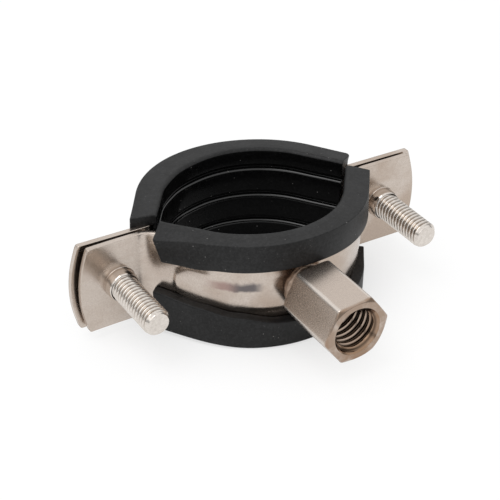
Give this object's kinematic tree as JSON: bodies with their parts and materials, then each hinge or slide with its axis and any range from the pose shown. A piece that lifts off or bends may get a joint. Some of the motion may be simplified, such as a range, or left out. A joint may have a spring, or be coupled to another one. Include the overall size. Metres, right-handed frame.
{
  "type": "rubber lined pipe clamp",
  "caption": "Split pipe clamp in stainless strip with rubber liners, flat ears, through screws and a long hexagonal threaded boss for a hanger rod.",
  "frame": {"origin": "on the pipe passage's axis, at the middle of the clamp's width", "axes": "+Z along the pipe, +X towards the right ears, -Y out of the threaded boss"},
  "size_m": [0.085, 0.0607, 0.0248],
  "materials": {
    "band_steel": "satin stainless strip",
    "liner_rubber": "matt black rubber",
    "boss_steel": "drawn hexagon bar, satin",
    "screw_steel": "bright rolled screw"
  },
  "bodies": {
    "front_half": {"front_band": "band_steel", "front_liner": "liner_rubber", "threaded_boss": "boss_steel", "boss_weld": "boss_steel"},
    "rear_half": {"rear_band": "band_steel", "rear_liner": "liner_rubber"},
    "left_screw": {"left_screw": "screw_steel"},
    "right_screw": {"right_screw": "screw_steel"}
  },
  "joints": [
    {"name": "clamp_opening", "type": "slide", "parent": "front_half", "child": "rear_half", "axis": [0, 1, 0], "range_m": [-0.0006, 0.014]},
    {"name": "left_screw_turn", "type": "hinge", "parent": "rear_half", "child": "left_screw", "pos_m": [-0.0326, 0, 0], "axis": [0, 1, 0], "range_deg": [-217, 5041]},
    {"name": "right_screw_turn", "type": "hinge", "parent": "rear_half", "child": "right_screw", "pos_m": [0.0326, 0, 0], "axis": [0, 1, 0], "range_deg": [-217, 5041]}
  ],
  "couplings": [
    {"joint": "left_screw_turn", "follows": "clamp_opening", "rad_per_m": 6283.2},
    {"joint": "right_screw_turn", "follows": "clamp_opening", "rad_per_m": 6283.2}
  ]
}
